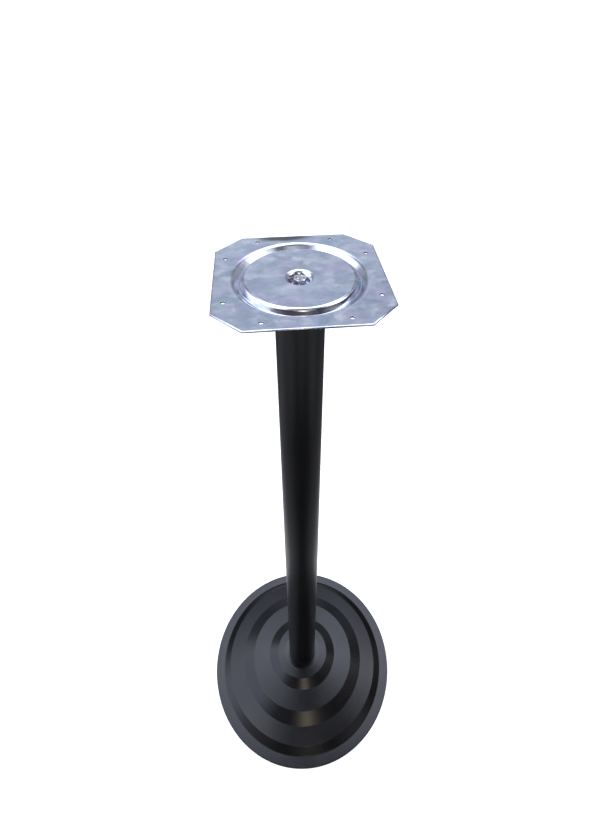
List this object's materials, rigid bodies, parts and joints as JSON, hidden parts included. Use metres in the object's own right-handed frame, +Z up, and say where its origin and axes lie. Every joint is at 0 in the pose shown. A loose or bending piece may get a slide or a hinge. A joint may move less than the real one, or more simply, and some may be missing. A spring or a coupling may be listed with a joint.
{
  "type": "pedestal table base",
  "caption": "Bar-height pedestal table base: octagonal galvanised top plate on a black steel tube column with a round stepped black foot and levelling glides.",
  "frame": {"origin": "on the floor, under the column's axis, at the level of the glide pads' lower faces", "axes": "+Z up along the column's axis; +X and +Y square to the sides of the top plate"},
  "size_m": [0.42, 0.42, 1.11],
  "materials": {
    "galvanised_sheet": "spangled matt zinc",
    "zinc_fastener": "bright zinc plate",
    "spring_steel": "plain",
    "tube_coat": "satin black powder coat",
    "cover_coat": "semi-gloss black powder coat",
    "bare_steel": "oiled",
    "cast_grey": "as cast, primed",
    "nylon_black": "matt",
    "foot_ring": "matt"
  },
  "bodies": {
    "base": {"top_plate": "galvanised_sheet", "top_nut": "zinc_fastener", "top_spring_washer": "spring_steel", "top_flat_washer": "zinc_fastener", "upper_centring_ring": "bare_steel", "column_tube": "tube_coat", "tie_rod": "zinc_fastener", "column_foot_gasket": "foot_ring", "base_cover": "cover_coat", "ballast_weight": "cast_grey", "bottom_flat_washer": "zinc_fastener", "bottom_spring_washer": "spring_steel", "bottom_nut": "zinc_fastener"},
    "glide_pad_1": {"glide_pad_1": "nylon_black"},
    "glide_stud_1": {"glide_stud_1": "zinc_fastener"},
    "glide_pad_2": {"glide_pad_2": "nylon_black"},
    "glide_stud_2": {"glide_stud_2": "zinc_fastener"},
    "glide_pad_3": {"glide_pad_3": "nylon_black"},
    "glide_stud_3": {"glide_stud_3": "zinc_fastener"},
    "glide_pad_4": {"glide_pad_4": "nylon_black"},
    "glide_stud_4": {"glide_stud_4": "zinc_fastener"}
  },
  "joints": [
    {"name": "glide_travel_1", "type": "slide", "parent": "base", "child": "glide_pad_1", "axis": [0, 0, -1], "range_m": [0, 0.005]},
    {"name": "glide_turn_1", "type": "hinge", "parent": "glide_pad_1", "child": "glide_stud_1", "pos_m": [0.1096, 0.1096, 0.005], "axis": [0, 0, -1], "range_deg": [0, 1440]},
    {"name": "glide_travel_2", "type": "slide", "parent": "base", "child": "glide_pad_2", "axis": [0, 0, -1], "range_m": [0, 0.005]},
    {"name": "glide_turn_2", "type": "hinge", "parent": "glide_pad_2", "child": "glide_stud_2", "pos_m": [-0.1096, 0.1096, 0.005], "axis": [0, 0, -1], "range_deg": [0, 1440]},
    {"name": "glide_travel_3", "type": "slide", "parent": "base", "child": "glide_pad_3", "axis": [0, 0, -1], "range_m": [0, 0.005]},
    {"name": "glide_turn_3", "type": "hinge", "parent": "glide_pad_3", "child": "glide_stud_3", "pos_m": [-0.1096, -0.1096, 0.005], "axis": [0, 0, -1], "range_deg": [0, 1440]},
    {"name": "glide_travel_4", "type": "slide", "parent": "base", "child": "glide_pad_4", "axis": [0, 0, -1], "range_m": [0, 0.005]},
    {"name": "glide_turn_4", "type": "hinge", "parent": "glide_pad_4", "child": "glide_stud_4", "pos_m": [0.1096, -0.1096, 0.005], "axis": [0, 0, -1], "range_deg": [0, 1440]}
  ],
  "couplings": [
    {"joint": "glide_turn_1", "follows": "glide_travel_1", "rad_per_m": 5026.5},
    {"joint": "glide_turn_2", "follows": "glide_travel_2", "rad_per_m": 5026.5},
    {"joint": "glide_turn_3", "follows": "glide_travel_3", "rad_per_m": 5026.5},
    {"joint": "glide_turn_4", "follows": "glide_travel_4", "rad_per_m": 5026.5}
  ]
}
